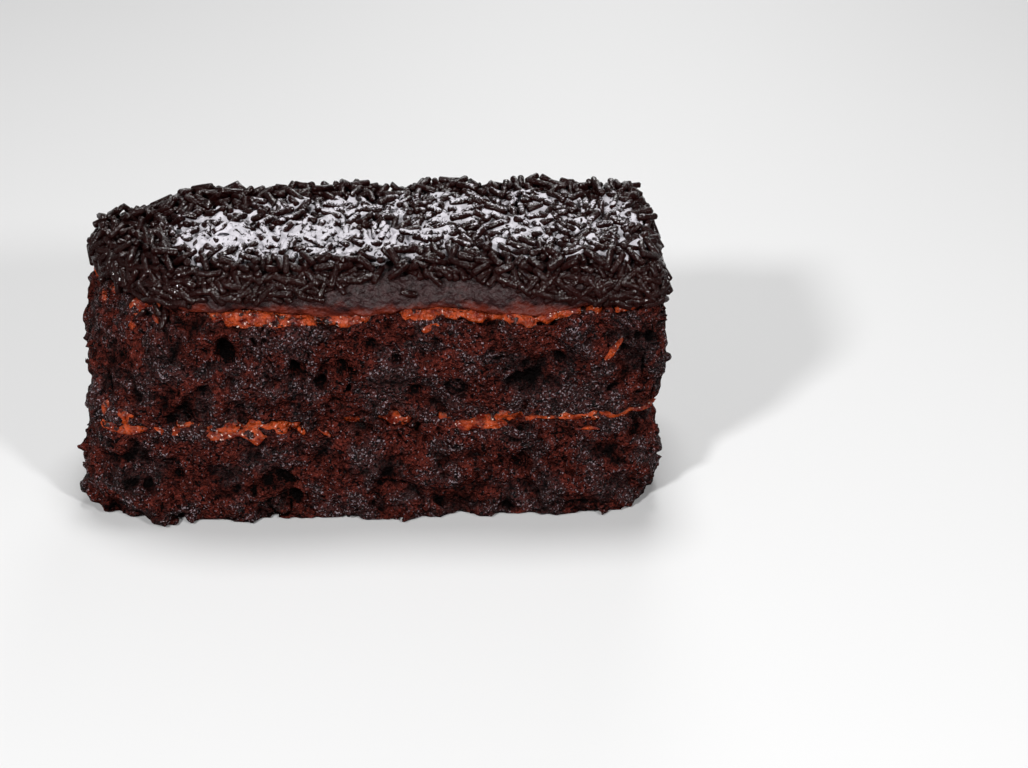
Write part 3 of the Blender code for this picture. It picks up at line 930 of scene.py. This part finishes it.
def make_smears(cake, material):
    """Thin smears of filling on the crumb of the front wall."""
    grid = Grid(*SMEAR_BOX, CRUMB_STEP)
    low = grid.low
    whole = refine(cake.whole, cake.grid, grid)
    marks = np.zeros(grid.shape, np.float32)
    for x, z, along, up, slant in SMEARS:
        column = whole[int((x - low[0]) / grid.step), :, int((z - low[2]) / grid.step)]
        wall = grid.axis(1)[np.argmax(column > 0)]
        stamp(marks, grid, (x, wall, z), (along, SMEAR_DEPTH, up), slant, 1.0)
    draw = np.random.default_rng(SEED + 40)
    marks += relief(grid, SMEAR_RAGGED, draw) * (marks > 0.1)
    film = SMEAR_FILM - np.abs(relief(grid, SMEAR_UNEVEN, draw, whole + SMEAR_SINK))
    field = np.minimum(np.minimum(film, whole + SMEAR_RISE), (marks - SMEAR_LIMIT) * 4)
    points, faces = skin(field, grid)
    return make_piece("filling_smears", points, faces, material, ["filling_upper"], "filling")


def make_icing(cake, material):
    """The icing without its strands, drooping a little at its foot."""
    name = "icing_with_strands"
    draw = np.random.default_rng(SEED + 50)
    grid, inner, whole, near = cake.layer(name, ICING_STEP, 1.0)
    field = np.minimum(inner + ICING_DROOP * near, whole + ICING_GROWTH)
    field += near * relief(grid, ICING_SCALES, draw)
    points, faces = skin(field, grid, whole)
    foot, _ = foot_and_top(name)
    share = np.clip(1 - (points[:, 2] - foot) / ICING_FOOT_REACH, 0, 1)
    return make_piece("icing_body", points, faces, material, [name], "icing", foot=share)


class HeightMap:
    """The height of what lies on the icing, on a flat grid in millimetres."""

    def __init__(self, tree):
        low, high = box_corners("icing_with_strands")
        self.low = low[:2] - 1.0
        self.top = high[2]
        count = np.ceil((high[:2] + 1.0 - self.low) / HEIGHT_STEP).astype(int) + 1
        self.values = np.full(count, -np.inf)
        for i in range(count[0]):
            for j in range(count[1]):
                x, y = self.low + HEIGHT_STEP * np.array([i, j])
                hit = tree.ray_cast(Vector((x, y, self.top + 9)), Vector((0, 0, -1)))[0]
                if hit and hit.z > low[2] + 3:
                    self.values[i, j] = hit.z
        self.ground = self.values.copy()

    def at(self, places, values):
        """The values of a map like this one at points of the plan."""
        cells = np.rint((places - self.low) / HEIGHT_STEP).astype(int)
        cells = np.clip(cells, 0, np.array(values.shape) - 1)
        return values[cells[..., 0], cells[..., 1]]

    def rest(self, centre, turn, length, radius):
        """Height and slope of a strand that comes to rest here, or None at the edge."""
        offsets = np.linspace(-0.5, 0.5, 7) * (length - radius)
        places = centre + offsets[:, None] * np.array([math.cos(turn), math.sin(turn)])
        heights = self.at(places, self.values)
        if not np.isfinite(heights[1:-1]).all():
            return None
        best = (heights[3], (heights[5] - heights[1]) / (offsets[5] - offsets[1]))
        for j in range(3):
            for k in range(4, 7):
                run = offsets[k] - offsets[j]
                level = (heights[j] * offsets[k] - heights[k] * offsets[j]) / run
                if level > best[0]:
                    best = (level, (heights[k] - heights[j]) / run)
        return best

    def cover(self, centre, run, length, radius):
        """Raises the map to the top of a strand that lies here."""
        flat = run[:2] / np.linalg.norm(run[:2])
        half = length / 2 * np.linalg.norm(run[:2])
        reach = half + radius
        low = np.maximum(((centre[:2] - reach - self.low) / HEIGHT_STEP).astype(int), 0)
        high = ((centre[:2] + reach - self.low) / HEIGHT_STEP).astype(int) + 2
        window = self.values[low[0] : high[0], low[1] : high[1]]
        x = self.low[0] + HEIGHT_STEP * (low[0] + np.arange(window.shape[0]))[:, None] - centre[0]
        y = self.low[1] + HEIGHT_STEP * (low[1] + np.arange(window.shape[1]))[None, :] - centre[1]
        along = x * flat[0] + y * flat[1]
        aside = x * flat[1] - y * flat[0]
        slope = run[2] / np.linalg.norm(run[:2])
        arch = np.sqrt(np.maximum(radius**2 - aside**2, 0))
        height = centre[2] + slope * along + arch
        touched = (np.abs(along) <= half) & (np.abs(aside) <= radius) & np.isfinite(window)
        window[touched] = np.maximum(window[touched], height[touched])


def sugar_amount(places):
    """How thick the sugar was sifted at points of the plan, from 0 to 1."""
    x, y = places[..., 0], places[..., 1]
    along = np.minimum(x - SUGAR_ENDS[0], SUGAR_ENDS[1] - x)
    across = np.minimum(y - read(SUGAR_FRONT, x), read(SUGAR_BACK, x) - y)
    wander = sum(np.sin(turns_x * x + turns_y * y + start) for turns_x, turns_y, start in WANDER_WAVES)
    room = np.minimum(across, along) + SUGAR_WANDER * wander
    dusted = smoothstep(-0.5 * SUGAR_EDGE, 0.5 * SUGAR_EDGE, room)
    amount = np.full(x.shape, THIN_SUGAR)
    for centre, reach, thickness in SUGAR_PATCHES:
        away = ((places - np.array(centre)) ** 2).sum(axis=-1) / reach**2
        amount = np.maximum(amount, thickness * np.exp(-(away**1.5) * 0.8))
    return amount * dusted


def top_strands(heights, draw):
    """Strands strewn one by one over the top, each resting on those that lie there already."""
    low = heights.low
    high = low + HEIGHT_STEP * (np.array(heights.values.shape) - 1)
    strands = []
    for centre in draw.uniform(low, high, (TOP_STRAND_DROPS, 2)):
        turn = draw.uniform(0, math.pi)
        length = draw.uniform(*STRAND_LENGTH)
        radius = draw.uniform(*STRAND_RADIUS)
        found = heights.rest(centre, turn, length, radius)
        if found is None:
            continue
        level, slope = found
        pile = MOST_PILE
        for x, y, reach, change in HEAPS:
            pile += change * math.exp(-((centre[0] - x) ** 2 + (centre[1] - y) ** 2) / reach**2)
        if level > heights.at(centre, heights.ground) + pile:
            continue
        slope = float(np.clip(slope, -MOST_SLOPE, MOST_SLOPE))
        if draw.random() < POKING_SHARE:
            extra = draw.uniform(*POKING_SLOPE) * draw.choice([-1, 1])
            slope += extra
            level += abs(extra) * length * 0.2
        run = np.array([math.cos(turn), math.sin(turn), slope])
        run /= np.linalg.norm(run)
        height = level + radius * STRAND_SETTLE
        if height + abs(run[2]) * length / 2 > heights.top + MOST_OVER_TOP:
            continue
        place = np.array([*centre, height])
        heights.cover(place, run, length, radius)
        strands.append((place, run, length, radius))
    return strands


def along_wall(outward, lean):
    """A direction along a wall that faces outward, turned from level by its lean."""
    side = np.cross(outward, [0, 0, 1])
    side /= np.linalg.norm(side)
    return side * math.cos(lean) + np.cross(outward, side) * math.sin(lean)


def wall_strands(icing, draw):
    """Strands pressed into the icing's wall and shoulder, in two loose layers."""
    points, faces = mesh_arrays(icing)
    corners = points[np.array(faces)]
    normals = np.cross(corners[:, 1] - corners[:, 0], corners[:, 2] - corners[:, 0])
    areas = np.linalg.norm(normals, axis=1)
    normals /= areas[:, None]
    centres = corners.mean(axis=1)
    ends = read(WALL_STRANDS_END, centres[:, 0])
    lowest, highest = WALL_FACING
    usable = (centres[:, 2] > ends) & (normals[:, 2] < highest) & (normals[:, 2] > lowest)
    chances = np.where(usable, areas, 0)
    chances /= chances.sum()
    strands = []
    for share, spacing, rise in WALL_LAYERS:
        taken = np.zeros((0, 3))
        for face in draw.choice(len(faces), WALL_TRIES, p=chances):
            if len(strands) >= WALL_STRANDS * share:
                break
            length = draw.uniform(*STRAND_LENGTH)
            radius = draw.uniform(*STRAND_RADIUS)
            outward = normals[face]
            centre = centres[face] + outward * radius * rise
            if len(taken) and (((taken - centre) ** 2).sum(axis=1) < spacing**2).any():
                continue
            run = along_wall(outward, draw.uniform(-MOST_LEAN, MOST_LEAN))
            run += outward * draw.normal(0, WALL_TILT)
            run /= np.linalg.norm(run)
            if centre[2] - abs(run[2]) * length / 2 < ends[face] - 1.0:
                continue
            taken = np.vstack([taken, centre])
            strands.append((centre, run, length, radius))
    return strands


def stray_strands(cake, draw):
    """A few strands that hang on the wall under the icing's broken corner."""
    tree = tree_of(*surface_net(cake.whole, cake.grid))
    strands = []
    for x, z, lean in STRAY_STRANDS:
        place, normal, _, _ = tree.ray_cast(Vector((x, -60, z)), Vector((0, 1, 0)))
        outward = np.array(normal)
        run = along_wall(outward, math.radians(lean))
        run /= np.linalg.norm(run)
        length = draw.uniform(*STRAND_LENGTH)
        strands.append((np.array(place) + outward * STRAY_RISE, run, length, STRAND_RADIUS[0]))
    return strands


def strand_template():
    """Ring places along a strand, points round it and faces, for a strand of unit size."""
    turns = np.arange(STRAND_SIDES) * 2 * math.pi / STRAND_SIDES
    ring = np.stack([np.cos(turns), np.sin(turns)], axis=1)
    places, sizes = np.array(STRAND_RINGS).T
    along = np.concatenate([[-1], np.repeat(places, STRAND_SIDES), [1]])
    around = np.concatenate([[[0, 0]], *(size * ring for size in sizes), [[0, 0]]])
    last = len(along) - 1
    last_ring = last - STRAND_SIDES
    faces = []
    for side in range(STRAND_SIDES):
        following = (side + 1) % STRAND_SIDES
        faces.append((0, 1 + following, 1 + side))
        for start in range(1, last_ring, STRAND_SIDES):
            a, b = start + side, start + following
            faces.append((a, b, b + STRAND_SIDES))
            faces.append((a, b + STRAND_SIDES, a + STRAND_SIDES))
        faces.append((last, last_ring + side, last_ring + following))
    return along, around, np.array(faces)


def make_strands(strands, draw, material):
    """All the strands as one mesh, each bent a little and uneven in thickness."""
    along, around, faces = strand_template()
    centres, runs, lengths, radii = (np.array(values) for values in zip(*strands))
    centres = centres[:, None, :]
    lengths = lengths[:, None, None]
    radii = radii[:, None, None]
    spare = draw.standard_normal(runs.shape)
    side = np.cross(runs, spare)
    side /= np.linalg.norm(side, axis=1)[:, None]
    up = np.cross(runs, side)
    bend = draw.normal(0, STRAND_BEND / 2, (len(strands), 1, 1))
    taper = 1 + draw.normal(0, STRAND_TAPER, (len(strands), len(along), 1))
    points = centres + runs[:, None, :] * along[None, :, None] * lengths / 2
    points = points + side[:, None, :] * bend * (along**2 - 0.4)[None, :, None]
    points = points + side[:, None, :] * around[None, :, :1] * radii * taper
    points = points + up[:, None, :] * around[None, :, 1:] * radii * taper
    points = points.reshape(-1, 3)
    shift = np.arange(len(strands))[:, None, None] * len(along)
    every = (faces[None] + shift).reshape(-1, 3)
    dust = sugar_amount(points[:, :2]) * smoothstep(*DUST_FLOOR, points[:, 2])
    return make_piece("strands", points, every, material, ["icing_with_strands"], "icing", dust=dust)


def blur(values, reach):
    """Smooths a map whose empty cells aren't finite, by averages over neighbours."""
    known = np.isfinite(values).astype(float)
    total = np.where(known > 0, values, 0.0)
    size = int(reach * 3 / HEIGHT_STEP)
    kernel = np.exp(-((np.arange(-size, size + 1) * HEIGHT_STEP / reach) ** 2) / 2)
    for axis in (0, 1):
        total = np.apply_along_axis(np.convolve, axis, total, kernel, "same")
        known = np.apply_along_axis(np.convolve, axis, known, kernel, "same")
    return np.where(known > 1e-6, total / np.maximum(known, 1e-6), 0.0)


def make_sugar(heights, draw, material):
    """Sifted sugar that fills the hollows between the strands, thick in some patches."""
    low, high = box_corners("icing_with_strands")
    low[2] = heights.top - 9
    high[2] = heights.top + 1
    grid = Grid(low, high, SUGAR_STEP)
    x, y, z = grid.axes()
    places = np.stack(np.broadcast_arrays(x[:, :, 0], y[:, :, 0]), axis=-1)
    lie = heights.at(places, blur(heights.values, SUGAR_BLUR))
    amount = sugar_amount(places) * smoothstep(*SUGAR_FLOOR, lie)
    top = lie + SUGAR_LOW + (SUGAR_HIGH - SUGAR_LOW) * amount
    crust = relief(grid, SUGAR_CRUST, draw)
    above = top[:, :, None] + crust - z
    below = z - (top - SUGAR_DEPTH)[:, :, None]
    bound = (amount[:, :, None] - SUGAR_LIMIT) * 8 + 0.5 * crust
    field = np.minimum(np.minimum(above, below), bound)
    points, faces = skin(field, grid)
    return make_piece("icing_sugar", points, faces, material, ["icing_with_strands"], "icing")


def make_floor():
    bpy.ops.mesh.primitive_plane_add(size=6.0, location=(0, 0, -0.0002))
    floor = bpy.context.object
    floor.name = "floor"
    look = Look("floor", 0.6, specular=0.3)
    look.colour(look.mix(look.noise(0.4), *FLOOR))
    floor.data.materials.append(look.material)


def aim(name, data, place, target):
    """A light or camera that looks from its place towards a target."""
    item = bpy.data.objects.new(name, data)
    item.location = place
    item.rotation_euler = (target - place).to_track_quat("-Z", "Y").to_euler()
    bpy.context.scene.collection.objects.link(item)
    return item


def make_lights():
    world = bpy.data.worlds.new("studio")
    world.use_nodes = True
    background = world.node_tree.nodes["Background"]
    background.inputs["Color"].default_value = (1.0, 1.0, 1.0, 1.0)
    background.inputs["Strength"].default_value = WORLD_LIGHT
    bpy.context.scene.world = world
    for name, place, size, watts in LIGHTS:
        light = bpy.data.lights.new(name, "AREA")
        light.shape = "DISK"
        light.size = size
        light.energy = watts
        aim(name, light, Vector(place), LIGHT_TARGET)


def make_camera():
    camera = bpy.data.cameras.new("camera")
    camera.lens = CAMERA_LENS
    camera.clip_start = 0.01
    away = Vector((math.sin(AZIMUTH), -math.cos(AZIMUTH), 0)) * math.cos(ELEVATION)
    away.z = math.sin(ELEVATION)
    place = CAMERA_TARGET + away * CAMERA_DISTANCE
    bpy.context.scene.camera = aim("camera", camera, place, CAMERA_TARGET)


def main():
    cake = Slice()
    crumb = crumb_look()
    filling = filling_look()
    lower = ("filling_lower", SHOWN_LOWER)
    upper = ("filling_upper", SHOWN_UPPER)
    make_sponge(cake, "sponge_lower", [lower], crumb)
    make_sponge(cake, "sponge_upper", [lower, upper], crumb)
    make_filling(cake, *lower, filling)
    make_filling(cake, *upper, filling)
    make_smears(cake, filling)
    icing = make_icing(cake, icing_look())
    draw = np.random.default_rng(SEED + 60)
    heights = HeightMap(tree_of(*mesh_arrays(icing)))
    strands = wall_strands(icing, draw) + stray_strands(cake, draw)
    for strand in strands:
        heights.cover(*strand)
    strands += top_strands(heights, draw)
    make_strands(strands, draw, strand_look())
    make_sugar(heights, draw, sugar_look())
    make_floor()
    make_lights()
    make_camera()
    bpy.context.scene.view_settings.view_transform = "Standard"


main()
